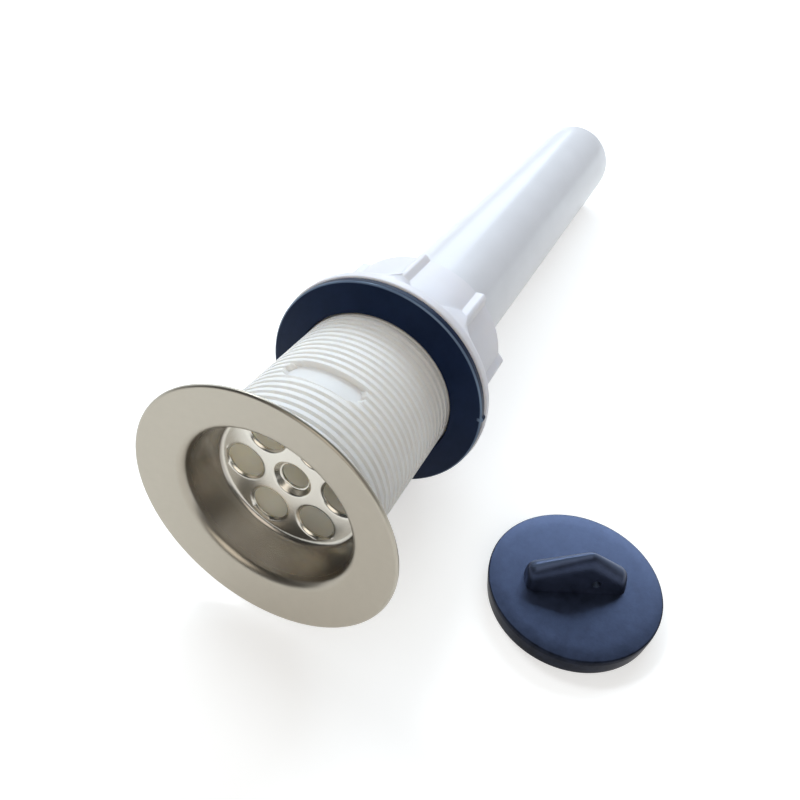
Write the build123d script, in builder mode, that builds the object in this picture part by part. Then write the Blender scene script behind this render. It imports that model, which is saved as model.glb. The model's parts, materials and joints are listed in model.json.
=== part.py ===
from build123d import *
import math
import os

# Sink waste with a pressed strainer cup, lying beside its plug as it comes to rest: the waste is held up by
# the rim of its back nut and the end of its tail pipe, and the plug lies flat. Sizes are in millimetres.
# A distance along the waste is measured on its axis from the face of the flange towards the tail.

# Strainer cup, one pressed sheet
flange_radius = 35.0
flange_rim_round = 0.1
flange_rim_land = 0.1
flange_dish = 1.0
sheet_thickness = 0.6
throat_bend = 3.5
cup_narrowing = 2.5
cup_depth = 13.95
cup_floor_bend = 1.6

# Strainer holes, drawn downwards, and the polished dimple in the middle
hole_count = 6
hole_radius = 4.9
hole_margin = 0.4
hole_collar_height = 0.9
hole_lip_round = 0.35
dimple_radius = 5.6
dimple_depth = 1.6
dimple_slope = 1.0
dimple_bend = 0.8
dimple_floor_bend = 0.5
dimple_floor_width = 0.8

# Threaded body, with a blind overflow pocket on two opposite sides
thread_radius = 23.9
thread_pitch = 2.309
thread_depth = 1.1
thread_crest = 0.9
thread_start = 10.0
thread_end = 79.0
body_top = 4.8
body_end = 89.5
body_wall = 2.62
body_shoulder = 3.0
cup_clearance = 0.15
cup_seat_end = 12.8
socket_wall = 2.75
funnel_length = 14.5
pocket_distance = 27.3
pocket_length = 21.0
pocket_width = 6.5
pocket_membrane = 1.1
pocket_turn = 3.0

# Tail pipe in the body's socket
waste_length = 288.0
pipe_radius = 18.4
pipe_wall = 1.6
socket_depth = 23.5
socket_clearance = 0.15
pipe_stop_length = 1.5
pipe_stop_lip = 0.3
pipe_end_relief = 0.5
pipe_end_length = 25.5

# Sealing washer with a tapered front, and back nut, on the thread
washer_distance = 56.0
washer_taper = 1.5
washer_rim_thickness = 2.4
washer_radius = 33.0
washer_clearance = 0.4
washer_edge_round = 0.4
nut_radius = 33.4
nut_front_chamfer = 0.5
nut_rim_width = 2.95
nut_back_length = 8.0
nut_wall = 2.95
nut_length = 30.7
nut_clearance = 0.15
rib_count = 8
rib_height = 1.7
rib_width = 2.8
rib_turn = -2.0
ramp_length = 16.5
ramp_turn = 18.0
toe_length = 15.0
toe_turn = 9.0

# Plug, moulded with its fin handle, at its place on the surface
plug_along = 41.4
plug_aside = 69.8
plug_radius = 23.2
plug_foot_radius = 22.7
plug_thickness = 6.2
plug_land = 1.6
plug_edge_round = 0.5
handle_turn = -66.0
handle_long_end = 13.5
handle_short_end = 13.0
handle_peak_along = 2.3
handle_peak_height = 12.8
handle_long_end_height = 6.6
handle_short_end_height = 5.4
handle_foot_width = 7.0
handle_ridge_width = 3.2
handle_round = 1.25
chain_hole_radius = 1.1
chain_hole_along = 4.5
chain_hole_height = 3.4

# Places that follow from the sizes
nut_distance = washer_distance + washer_taper + washer_rim_thickness
nut_rim_end = nut_distance + nut_rim_width
nut_end = nut_distance + nut_length
nut_bore_radius = thread_radius + nut_clearance
nut_panel_radius = nut_bore_radius + nut_wall
rib_radius = nut_panel_radius + rib_height
body_bore_radius = thread_radius - body_wall
cup_taper = cup_narrowing / (cup_depth - flange_dish)
cup_wall_width = sheet_thickness * math.hypot(1, cup_taper)
cup_mouth_radius = body_bore_radius - cup_clearance - cup_wall_width + cup_taper * (cup_seat_end - flange_dish)
cup_floor_radius = cup_mouth_radius - cup_narrowing
hole_circle_radius = cup_floor_radius - cup_floor_bend - hole_margin - hole_radius
dimple_hole_radius = dimple_radius - dimple_slope - dimple_floor_width
flange_rim_bend = sheet_thickness + flange_rim_round
flange_rim_drop = flange_rim_bend + flange_rim_land
cup_seat_radius = body_bore_radius + cup_taper * (cup_seat_end - body_top)
pocket_floor_radius = body_bore_radius + pocket_membrane
pipe_end_radius = pipe_radius - pipe_end_relief
socket_radius = pipe_end_radius + socket_clearance
socket_outer_radius = min(socket_radius + socket_wall, thread_radius)
pipe_bore_radius = pipe_radius - pipe_wall
pipe_start = body_end - socket_depth
funnel_end = pipe_start - pipe_stop_length
tilt = math.atan2(nut_radius - pipe_radius, waste_length - nut_rim_end)
flange_reach = (flange_radius - flange_rim_bend) * math.sin(tilt) + flange_rim_bend * (1 - math.cos(tilt))
tail_reach = waste_length * math.cos(tilt) + pipe_radius * math.sin(tilt)
flange_centre = Vector(
    (flange_reach - tail_reach) / 2,
    (plug_aside + plug_radius - flange_radius) / 2,
    nut_rim_end * math.sin(tilt) + nut_radius * math.cos(tilt),
)
plug_centre = Vector(flange_centre.X + plug_along, flange_centre.Y - plug_aside, 0)

# The waste's axis, the plane of its profiles (distance along, radius) and planes across it
axis_direction = Vector(math.cos(tilt), 0, -math.sin(tilt))
waste_axis = Axis(flange_centre, axis_direction)
profile_plane = Plane(flange_centre, x_dir=axis_direction, z_dir=(0, -1, 0))


def cross_plane(distance, turn=0.0):
    """Plane across the axis, with its local Y upwards, turned about the axis from above towards -Y."""
    plane = Plane(flange_centre + axis_direction * distance, x_dir=(0, 1, 0), z_dir=axis_direction)
    return plane.rotated((0, 0, turn))


# Strainer cup: the sheet's upper face runs from the turned rim over the flange, down the cup and into the dimple
dimple_floor = cup_depth + dimple_depth
with BuildPart() as strainer_cup:
    with BuildSketch(profile_plane):
        with BuildLine():
            FilletPolyline(
                (flange_rim_drop, flange_radius),
                (0, flange_radius),
                (flange_dish, cup_mouth_radius),
                (cup_depth, cup_floor_radius),
                (cup_depth, dimple_radius),
                (dimple_floor, dimple_radius - dimple_slope),
                (dimple_floor, dimple_hole_radius),
                radius=[flange_rim_bend, throat_bend, cup_floor_bend, dimple_bend, dimple_floor_bend],
            )
            offset(amount=sheet_thickness, side=Side.LEFT)
        make_face()
    revolve(axis=waste_axis)
    with BuildSketch(cross_plane(cup_depth + sheet_thickness / 2)):
        with PolarLocations(hole_circle_radius, hole_count):
            Circle(hole_radius + sheet_thickness)
    extrude(amount=sheet_thickness / 2 + hole_collar_height)
    with BuildSketch(cross_plane(cup_depth)):
        with PolarLocations(hole_circle_radius, hole_count):
            Circle(hole_radius)
    extrude(amount=sheet_thickness + hole_collar_height, mode=Mode.SUBTRACT)
    hole_edges = strainer_cup.edges().filter_by(GeomType.CIRCLE)
    hole_edges = hole_edges.filter_by(lambda edge: abs(edge.radius - hole_radius) < sheet_thickness / 4)
    fillet(hole_edges.group_by(waste_axis)[0], radius=min(hole_lip_round, 0.6 * sheet_thickness))
strainer_cup.part.label = "strainer_cup"

# Cutter for the overflow pockets: a slot across the axis, kept outside the pocket's round floor
pocket_up = cross_plane(pocket_distance, pocket_turn).y_dir
with BuildPart() as pocket_cutter:
    with BuildSketch(Plane(cross_plane(pocket_distance).origin, x_dir=axis_direction, z_dir=pocket_up)):
        SlotOverall(pocket_length, pocket_width, rotation=90)
    extrude(amount=2 * thread_radius, both=True)
    with BuildSketch(cross_plane(pocket_distance - pocket_width)):
        Circle(pocket_floor_radius)
    extrude(amount=2 * pocket_width, mode=Mode.SUBTRACT)

# Threaded body: turns as plain grooves, with a conical seat for the cup, a funnel and a pipe socket
thread_flank = (thread_pitch - thread_crest) / 2
thread_points = []
for turn in range(math.floor((thread_end - thread_start) / thread_pitch)):
    turn_start = thread_start + turn * thread_pitch
    thread_points.append((turn_start, thread_radius))
    thread_points.append((turn_start + thread_crest, thread_radius))
    thread_points.append((turn_start + thread_crest + thread_flank, thread_radius - thread_depth))
last_turn = thread_points[-1][0] + thread_flank
with BuildPart() as waste_body:
    with BuildSketch(profile_plane):
        with BuildLine():
            Polyline(
                (body_top, cup_seat_radius),
                (body_top, thread_radius),
                *thread_points,
                (last_turn, thread_radius),
                (thread_end, thread_radius),
                (thread_end + body_shoulder, socket_outer_radius),
                (body_end, socket_outer_radius),
                (body_end, socket_radius),
                (pipe_start, socket_radius),
                (pipe_start, pipe_bore_radius - pipe_stop_lip),
                (funnel_end, pipe_bore_radius - pipe_stop_lip),
                (funnel_end - funnel_length, body_bore_radius),
                (cup_seat_end, body_bore_radius),
                close=True,
            )
        make_face()
    revolve(axis=waste_axis)
    add(pocket_cutter.part, mode=Mode.SUBTRACT)
waste_body.part.label = "waste_body"

# Tail pipe, with its relieved end pushed in to the socket's stop
with BuildPart() as tail_pipe:
    with BuildSketch(profile_plane):
        with BuildLine():
            Polyline(
                (pipe_start, pipe_bore_radius),
                (pipe_start, pipe_end_radius),
                (pipe_start + pipe_end_length, pipe_end_radius),
                (pipe_start + pipe_end_length, pipe_radius),
                (waste_length, pipe_radius),
                (waste_length, pipe_bore_radius),
                close=True,
            )
        make_face()
    revolve(axis=waste_axis)
tail_pipe.part.label = "tail_pipe"

# Rubber washer between the sink and the nut
washer_bore_radius = thread_radius + washer_clearance
with BuildPart() as sealing_washer:
    with BuildSketch(profile_plane):
        with BuildLine():
            Polyline(
                (washer_distance, washer_bore_radius),
                (washer_distance + washer_taper, washer_radius),
                (nut_distance, washer_radius),
                (nut_distance, washer_bore_radius),
                close=True,
            )
        make_face()
    revolve(axis=waste_axis)
    outer_edges = sealing_washer.edges().filter_by(GeomType.CIRCLE).group_by(SortBy.RADIUS)[-1]
    fillet(outer_edges, radius=washer_edge_round)
sealing_washer.part.label = "sealing_washer"


def nut_wedge(length, turn):
    """Wedge from beside a rib, where it reaches a length behind the rim, to the rim's plain back a turn away."""
    with BuildPart() as wedge:
        for reach, angle in ((length, rib_turn), (nut_back_length, rib_turn + turn)):
            with BuildSketch(profile_plane.rotated((angle, 0, 0))):
                with BuildLine():
                    Polyline(
                        (nut_rim_end - nut_rim_width / 2, rib_root_radius),
                        (nut_rim_end - nut_rim_width / 2, nut_radius - nut_front_chamfer),
                        (nut_rim_end, nut_radius - nut_front_chamfer),
                        (nut_rim_end + reach, nut_panel_radius),
                        (nut_rim_end + reach, rib_root_radius),
                        close=True,
                    )
                make_face()
        loft(ruled=True)
    return wedge.part


# Back nut: flat front, rim, and a round body with grip ribs, each with a long ramp and a short toe behind the rim
rib_root_radius = (nut_bore_radius + nut_panel_radius) / 2
nut_ramp = nut_wedge(ramp_length, -ramp_turn)
nut_toe = nut_wedge(toe_length, toe_turn)
with BuildPart() as back_nut:
    with BuildSketch(profile_plane):
        with BuildLine():
            Polyline(
                (nut_distance, nut_bore_radius),
                (nut_distance, nut_radius - nut_front_chamfer),
                (nut_distance + nut_front_chamfer, nut_radius),
                (nut_rim_end, nut_radius),
                (nut_rim_end + nut_back_length, nut_panel_radius),
                (nut_end, nut_panel_radius),
                (nut_end, nut_bore_radius),
                close=True,
            )
        make_face()
    revolve(axis=waste_axis)
    with BuildSketch(cross_plane(nut_rim_end, rib_turn)):
        with PolarLocations((rib_root_radius + rib_radius) / 2, rib_count, start_angle=90):
            Rectangle(rib_radius - rib_root_radius, rib_width)
    extrude(amount=nut_end - nut_rim_end)
    for rib in range(rib_count):
        add(nut_ramp.rotate(waste_axis, rib * 360 / rib_count))
        add(nut_toe.rotate(waste_axis, rib * 360 / rib_count))
back_nut.part.label = "back_nut"

# Plug's fin handle: a side outline kept between two drafted faces, with a rounded ridge and a chain hole
handle_direction = Vector(math.cos(math.radians(handle_turn)), math.sin(math.radians(handle_turn)), 0)
plug_top_centre = plug_centre + Vector(0, 0, plug_thickness)
handle_side_plane = Plane(plug_top_centre, x_dir=handle_direction, z_dir=handle_direction.cross(Vector(0, 0, 1)))
handle_end_plane = Plane(plug_top_centre, x_dir=-handle_side_plane.z_dir, z_dir=handle_direction)
handle_root = -plug_thickness / 2
with BuildPart() as plug_handle:
    with BuildSketch(handle_side_plane):
        with BuildLine():
            Polyline(
                (-handle_long_end, handle_root),
                (-handle_long_end, handle_long_end_height),
                (handle_peak_along, handle_peak_height),
                (handle_short_end, handle_short_end_height),
                (handle_short_end, handle_root),
                close=True,
            )
        make_face()
    extrude(amount=handle_foot_width, both=True)
    with BuildSketch(handle_end_plane):
        with BuildLine():
            Polyline(
                (-handle_foot_width / 2, handle_root),
                (handle_foot_width / 2, handle_root),
                (handle_foot_width / 2, 0),
                (handle_ridge_width / 2, handle_peak_height),
                (-handle_ridge_width / 2, handle_peak_height),
                (-handle_foot_width / 2, 0),
                close=True,
            )
        make_face()
    extrude(amount=handle_long_end + handle_short_end, both=True, mode=Mode.INTERSECT)
    roof_faces = plug_handle.faces().filter_by(lambda face: face.normal_at().Z > 0.5)
    end_faces = plug_handle.faces().filter_by(lambda face: abs(face.normal_at().dot(handle_direction)) > 0.9)
    end_edges = end_faces.edges().filter_by(lambda edge: abs(edge.tangent_at(0).Z) > 0.5)
    fillet(roof_faces.edges() + end_edges, radius=min(handle_round, 0.4 * handle_ridge_width))
    with BuildSketch(handle_side_plane):
        with Locations((chain_hole_along, chain_hole_height)):
            Circle(chain_hole_radius)
    extrude(amount=handle_foot_width, both=True, mode=Mode.SUBTRACT)

# Plug: a tapered disc with a short land at its top edge, and its handle
with BuildPart() as plug:
    with BuildSketch(Plane(plug_centre, x_dir=(1, 0, 0), z_dir=(0, -1, 0))):
        with BuildLine():
            Polyline(
                (0, 0),
                (plug_foot_radius, 0),
                (plug_radius, plug_thickness - plug_land),
                (plug_radius, plug_thickness),
                (0, plug_thickness),
                close=True,
            )
        make_face()
    revolve(axis=Axis(plug_centre, (0, 0, 1)))
    fillet(plug.edges().group_by(Axis.Z)[-1], radius=plug_edge_round)
    add(plug_handle.part)
plug.part.label = "plug"

os.makedirs("parts", exist_ok=True)
for piece in (strainer_cup, waste_body, tail_pipe, sealing_washer, back_nut, plug):
    export_step(piece.part, f"parts/{piece.part.label}.step")
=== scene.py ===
"""Sink waste and its plug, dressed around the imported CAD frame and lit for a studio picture."""

import json
import math

import bmesh
import bpy
import numpy as np
from mathutils import Matrix


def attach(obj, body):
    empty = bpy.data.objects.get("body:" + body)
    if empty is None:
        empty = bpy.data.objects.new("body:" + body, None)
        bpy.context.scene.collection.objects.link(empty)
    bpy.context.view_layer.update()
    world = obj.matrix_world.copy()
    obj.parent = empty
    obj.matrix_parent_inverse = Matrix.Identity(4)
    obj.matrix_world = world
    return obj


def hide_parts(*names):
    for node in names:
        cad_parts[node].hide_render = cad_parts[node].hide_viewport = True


bl_info = {
    "name": "Sink Waste",
    "version": (1, 0, 0),
    "blender": (4, 5, 0),
    "location": "View3D > Sidebar > Sink Waste",
    "description": "Builds a sink waste with strainer, thread, washer, nut, tail and plug",
    "category": "Object",
}

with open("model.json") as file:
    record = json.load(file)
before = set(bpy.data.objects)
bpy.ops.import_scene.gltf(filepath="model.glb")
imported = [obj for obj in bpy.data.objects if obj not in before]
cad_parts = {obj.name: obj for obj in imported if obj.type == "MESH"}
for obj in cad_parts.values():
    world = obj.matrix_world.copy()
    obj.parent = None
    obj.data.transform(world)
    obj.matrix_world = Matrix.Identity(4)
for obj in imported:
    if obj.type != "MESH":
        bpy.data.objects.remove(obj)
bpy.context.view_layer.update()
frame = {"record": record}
MM = 0.001
MERGE_DISTANCE = 2e-6

# The waste's own directions: its axis read from the tail's mount, a fixed side, and the way up across them
MOUNTS = {mount["name"]: mount for mount in frame["record"]["mounts"]}
AXIS = np.array(MOUNTS["tail_bore"]["axis"])
SIDE = np.array((0.0, -1.0, 0.0))
UP = np.cross(SIDE, AXIS)
TAIL_END = 288.0
TAIL_START = 66.0
FLANGE_CENTRE = np.array(MOUNTS["tail_bore"]["pos_m"]) - AXIS * (TAIL_START + TAIL_END) / 2 * MM

# The plug's directions along and across its fin and the middle of its foot, read from the chain hole
CHAIN_HOLE_ALONG = 4.5
PLUG_ACROSS = np.array(MOUNTS["chain_hole"]["axis"])
PLUG_ALONG = np.array((-PLUG_ACROSS[1], PLUG_ACROSS[0], 0.0))
PLUG_FOOT = (np.array(MOUNTS["chain_hole"]["pos_m"]) - PLUG_ALONG * CHAIN_HOLE_ALONG * MM) * (1.0, 1.0, 0.0)


def length(name, description, default):
    """A size in millimetres for a property group."""
    return bpy.props.FloatProperty(name=name, description=description, default=default, min=0.0)


def colour(name, description, default):
    """A linear colour for a property group."""
    return bpy.props.FloatVectorProperty(
        name=name, description=description, subtype="COLOR", size=3, default=default, min=0.0, max=1.0
    )


def power(name, description, default):
    """A lamp's power in watts for a property group."""
    return bpy.props.FloatProperty(name=name, description=description, subtype="POWER", default=default)


class WasteSizes(bpy.types.PropertyGroup):
    """Sizes in millimetres, with distances measured along the axis from the flange's face."""

    flange_radius: length("Flange Radius", "Outer radius of the flange", 35.0)
    rim_bend: length("Rim Bend", "Bend of the flange's turned rim", 0.7)
    rim_land: length("Rim Land", "Straight part of the turned rim", 0.2)
    dish: length("Dish", "Depth of the shallow dish at the throat", 2.1)
    throat_bend: length("Throat Bend", "Bend from the flange into the cup", 2.6)
    cup_mouth: length("Cup Mouth", "Radius of the cup where its wall would meet the dish", 22.95)
    cup_floor: length("Cup Floor", "Radius of the cup where its wall would meet the strainer", 20.3)
    cup_depth: length("Cup Depth", "Distance of the strainer plate", 13.95)
    floor_bend: length("Floor Bend", "Bend from the cup's wall into the strainer plate", 1.6)
    plate_dish: length("Plate Dish", "How far the strainer plate sinks towards its middle", 0.3)
    sheet: length("Sheet", "Thickness of the pressed sheet", 0.6)
    hole_radius: length("Hole Radius", "Radius of a drain hole", 4.9)
    hole_circle: length("Hole Circle", "Radius of the circle of drain holes", 13.4)
    hole_draw: length("Hole Draw", "How far a drain hole's lip is drawn down", 0.65)
    dimple_radius: length("Dimple Radius", "Radius of the dimple in the strainer", 5.2)
    dimple_depth: length("Dimple Depth", "Depth of the dimple", 1.6)
    dimple_hole: length("Dimple Hole", "Radius of the hole in the dimple", 3.8)
    thread_radius: length("Thread Radius", "Outer radius of the thread", 23.9)
    thread_pitch: length("Thread Pitch", "Distance between turns of the thread", 2.309)
    thread_depth: length("Thread Depth", "Depth of the thread", 1.15)
    body_top: length("Body Top", "Distance of the body's upper edge", 4.8)
    thread_start: length("Thread Start", "Distance of the thread's first turn", 8.0)
    thread_end: length("Thread End", "Distance of the thread's last turn", 79.0)
    pocket_distance: length("Pocket Distance", "Distance of the overflow pockets", 27.3)
    pocket_length: length("Pocket Length", "Length of a pocket around the body", 21.0)
    pocket_width: length("Pocket Width", "Width of a pocket along the body", 6.5)
    pocket_floor: length("Pocket Floor", "Radius of a pocket's round floor", 22.38)
    body_bore: length("Body Bore", "Radius of the body's bore", 21.28)
    pipe_radius: length("Pipe Radius", "Outer radius of the tail", 18.4)
    pipe_bore: length("Pipe Bore", "Inner radius of the tail", 16.8)
    washer_distance: length("Washer Distance", "Distance of the washer's front edge at the thread", 56.0)
    washer_taper: length("Washer Taper", "How far the washer's front falls back towards its rim", 1.5)
    washer_rim: length("Washer Rim", "Thickness of the washer at its rim", 2.4)
    washer_radius: length("Washer Radius", "Outer radius of the washer", 33.0)
    nut_radius: length("Nut Radius", "Radius of the nut's rim", 33.4)
    nut_length: length("Nut Length", "Length of the nut", 30.7)
    rib_height: length("Rib Height", "Height of a grip rib over the nut's body", 1.7)
    rib_width: length("Rib Width", "Width of a grip rib", 2.8)
    plug_radius: length("Plug Radius", "Outer radius of the plug", 23.2)
    plug_foot_radius: length("Plug Foot Radius", "Radius of the plug at its foot", 22.7)
    plug_thickness: length("Plug Thickness", "Thickness of the plug's disc", 6.2)
    plug_land: length("Plug Land", "Height of the straight band at the top of the plug's side", 1.6)
    fin_peak: length("Fin Peak", "Height of the plug's fin over its disc", 12.8)
    fin_foot_width: length("Fin Foot Width", "Width of the fin at the disc", 7.0)
    fin_ridge_width: length("Fin Ridge Width", "Width of the fin's drafted sides at its peak", 3.2)
    chain_hole: length("Chain Hole", "Radius of the hole for a chain", 1.1)


class WasteColours(bpy.types.PropertyGroup):
    """Base colours of the finishes."""

    steel: colour("Steel", "Satin steel of the flange", (0.445, 0.41, 0.345))
    # Painted shade: a darker base colour for the cup's wall than for the flange, though both are one sheet
    # of steel
    cup_wall_shade: colour("Cup Wall", "Polished steel of the cup's wall", (0.46, 0.43, 0.385))
    # Painted light: a paler base colour for the strainer plate than for the flange, though both are one
    # sheet of steel
    plate: colour("Plate", "Bright steel of the strainer plate", (0.70, 0.675, 0.61))
    thread: colour("Thread", "Matte white of the threaded body", (0.87, 0.83, 0.775))
    # Painted light: a warmer, paler white than the thread's, for the same plastic inside the body
    inside: colour("Inside", "Warm white inside the threaded body", (0.97, 0.885, 0.76))
    nut: colour("Nut", "Satin white of the back nut", (0.755, 0.73, 0.76))
    pipe: colour("Pipe", "Smooth white of the tail", (0.70, 0.695, 0.72))
    washer: colour("Washer", "Dark rubber of the washer", (0.005, 0.011, 0.034))
    washer_bloom: colour("Washer Bloom", "Paler clouds on the washer", (0.008, 0.016, 0.050))
    # Painted highlight: a pale blue base colour for the washer's rounded front edge
    washer_edge_highlight: colour("Washer Edge", "Worn front edge of the washer", (0.13, 0.18, 0.27))
    plug: colour("Plug", "Dark rubber of the plug", (0.006, 0.008, 0.014))
    plug_bloom: colour("Plug Bloom", "Paler clouds on the plug", (0.024, 0.031, 0.056))
    # Painted highlight: a paler blue base colour for the upward-facing faces of the fin's ridge
    plug_ridge_highlight: colour("Plug Ridge", "Worn ridge of the plug's fin", (0.075, 0.10, 0.155))


class StageSettings(bpy.types.PropertyGroup):
    """Camera, lamps and soft light."""

    lens: bpy.props.FloatProperty(name="Lens", description="Focal length of the camera", default=31.896)
    window_power: power("Window", "Power of the large lamp behind", 9.5)
    skylight_power: power("Skylight", "Power of the narrow lamp high behind", 8.0)
    overhead_power: power("Overhead", "Power of the small lamp above", 4.0)
    fill_power: power("Fill", "Power of the lamp beside the camera", 3.1)
    ambient_side: bpy.props.FloatProperty(
        name="Ambient Side", description="Strength of the soft light at the horizon", default=0.24
    )
    ambient_top: bpy.props.FloatProperty(
        name="Ambient Top", description="Strength of the soft light from above", default=0.36
    )


def on_waste(distance, radius, angle):
    """Points of the waste in metres, from millimetres.

    centre + axis * distance + radius * (up * cos(angle) + side * sin(angle))
    """
    distance, radius, angle = np.broadcast_arrays(distance, radius, angle)
    across = np.cos(angle)[..., None] * UP + np.sin(angle)[..., None] * SIDE
    return FLANGE_CENTRE + MM * (distance[..., None] * AXIS + radius[..., None] * across)


def off_waste(points):
    """Distance and radius in millimetres of points in metres: on_waste the other way round."""
    offset = (points - FLANGE_CENTRE) / MM
    return offset @ AXIS, np.hypot(offset @ UP, offset @ SIDE)


def on_plug(along, across, height):
    """Points of the plug in metres, from millimetres.

    foot + the fin's direction * along + the crosswise direction * across + up * height
    """
    along, across, height = np.broadcast_arrays(along, across, height)
    upward = height[..., None] * np.array((0.0, 0.0, 1.0))
    return PLUG_FOOT + MM * (along[..., None] * PLUG_ALONG + across[..., None] * PLUG_ACROSS + upward)


def smooth_step(low, high, value):
    """0 below low, 1 above high and 3x^2 - 2x^3 between."""
    share = np.clip((value - low) / (high - low), 0.0, 1.0)
    return share * share * (3.0 - 2.0 * share)


def soft_greater(first, second, width):
    """The greater of two, with a soft corner: (a + b + sqrt((a - b)^2 + width^2)) / 2."""
    return (first + second + np.hypot(first - second, width)) / 2


def rounded_profile(corners, bends, steps=8):
    """Corner points with each inner corner made an arc: it starts r * tan(turn / 2) before the corner."""
    corners = np.array(corners, float)
    runs = [corners[:1]]
    for before, corner, after, bend in zip(corners[:-2], corners[1:-1], corners[2:], bends):
        into = (corner - before) / np.linalg.norm(corner - before)
        out = (after - corner) / np.linalg.norm(after - corner)
        turn = math.acos(np.clip(into @ out, -1.0, 1.0))
        reach = bend * math.tan(turn / 2)
        normal = out - into * math.cos(turn)
        normal /= np.linalg.norm(normal)
        swing = np.linspace(0.0, turn, steps + 1)[:, None]
        start = corner - into * reach
        runs.append(start + bend * (np.sin(swing) * into + (1 - np.cos(swing)) * normal))
    runs.append(corners[-1:])
    return np.concatenate(runs)


def subdivided(profile, step):
    """A profile with points added so that no run is longer than the step."""
    gaps = np.linalg.norm(np.diff(profile, axis=0), axis=1)
    counts = np.maximum(1, np.ceil(gaps / step).astype(int))
    index = np.repeat(np.arange(len(gaps)), counts)
    starts = np.repeat(np.cumsum(counts) - counts, counts)
    share = (np.arange(counts.sum()) - starts) / np.repeat(counts, counts)
    inner = profile[index] + share[:, None] * (profile[index + 1] - profile[index])
    return np.concatenate([inner, profile[-1:]])


def grid_faces(rows, columns, first=0, close_rows=False, close_columns=False):
    """Quads of a grid whose points are numbered row by row from first, closed in either direction."""
    row = np.arange(rows if close_rows else rows - 1)[:, None]
    column = np.arange(columns if close_columns else columns - 1)[None, :]
    next_row, next_column = (row + 1) % rows, (column + 1) % columns
    corners = (row * columns + column, next_row * columns + column,
               next_row * columns + next_column, row * columns + next_column)
    return first + np.stack([c.ravel() for c in np.broadcast_arrays(*corners)], axis=1)


def ring_angles(count):
    """Even angles once round."""
    return np.arange(count) * 2 * np.pi / count


def build_piece(name, grids, material, node, sharp_degrees=35.0):
    """One mesh from (points, faces) grids: seams merged, faces outwards and sharp edges kept."""
    points = np.concatenate([grid[0].reshape(-1, 3) for grid in grids])
    starts = np.cumsum([0] + [grid[0].size // 3 for grid in grids[:-1]])
    faces = np.concatenate([grid[1] + start for grid, start in zip(grids, starts)])
    mesh = bpy.data.meshes.new(name)
    mesh.from_pydata(points, [], faces)
    work = bmesh.new()
    work.from_mesh(mesh)
    bmesh.ops.remove_doubles(work, verts=work.verts, dist=MERGE_DISTANCE)
    bmesh.ops.recalc_face_normals(work, faces=work.faces)
    work.to_mesh(mesh)
    work.free()
    mesh.shade_smooth()
    mesh.set_sharp_from_angle(angle=math.radians(sharp_degrees))
    mesh.materials.append(material)
    piece = bpy.data.objects.new(name, mesh)
    bpy.context.scene.collection.objects.link(piece)
    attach(piece, "root")
    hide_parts(node)
    return piece


def revolved(profile, angles):
    """A profile of (distance, radius) rows carried round the axis."""
    points = on_waste(profile[:, :1], profile[:, 1:], angles[None, :])
    return points, grid_faces(len(profile), len(angles), close_columns=True)


def revolved_loop(profile, angles):
    """A closed profile carried round the axis, as a solid ring."""
    points = on_waste(profile[:, :1], profile[:, 1:], angles[None, :])
    return points, grid_faces(len(profile), len(angles), close_rows=True, close_columns=True)


def point_values(piece, name, values):
    """Stores one number per point of a piece for its material."""
    attribute = piece.data.attributes.new(name, "FLOAT", "POINT")
    attribute.data.foreach_set("value", np.asarray(values, np.float32))


def piece_points(piece):
    """A piece's points as an array."""
    flat = np.empty(len(piece.data.vertices) * 3, np.float32)
    piece.data.vertices.foreach_get("co", flat)
    return flat.reshape(-1, 3).astype(float)


class Nodes:
    """A node tree under construction, with short ways to add to it."""

    def __init__(self, tree):
        self.tree = tree

    def add(self, kind, **values):
        node = self.tree.nodes.new(kind)
        for key, value in values.items():
            setattr(node, key, value)
        return node

    def link(self, source, target):
        self.tree.links.new(source, target)

    def spread(self, source, low, high, from_low=0.0, from_high=1.0):
        """A value moved evenly from one range to another, and kept inside it."""
        node = self.add("ShaderNodeMapRange")
        node.inputs["From Min"].default_value = from_low
        node.inputs["From Max"].default_value = from_high
        node.inputs["To Min"].default_value = low
        node.inputs["To Max"].default_value = high
        self.link(source, node.inputs["Value"])
        return node.outputs["Result"]

    def join(self, operation, first, second):
        """Two values joined by a math operation."""
        node = self.add("ShaderNodeMath", operation=operation)
        self.link(first, node.inputs[0])
        self.link(second, node.inputs[1])
        return node.outputs[0]


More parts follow.
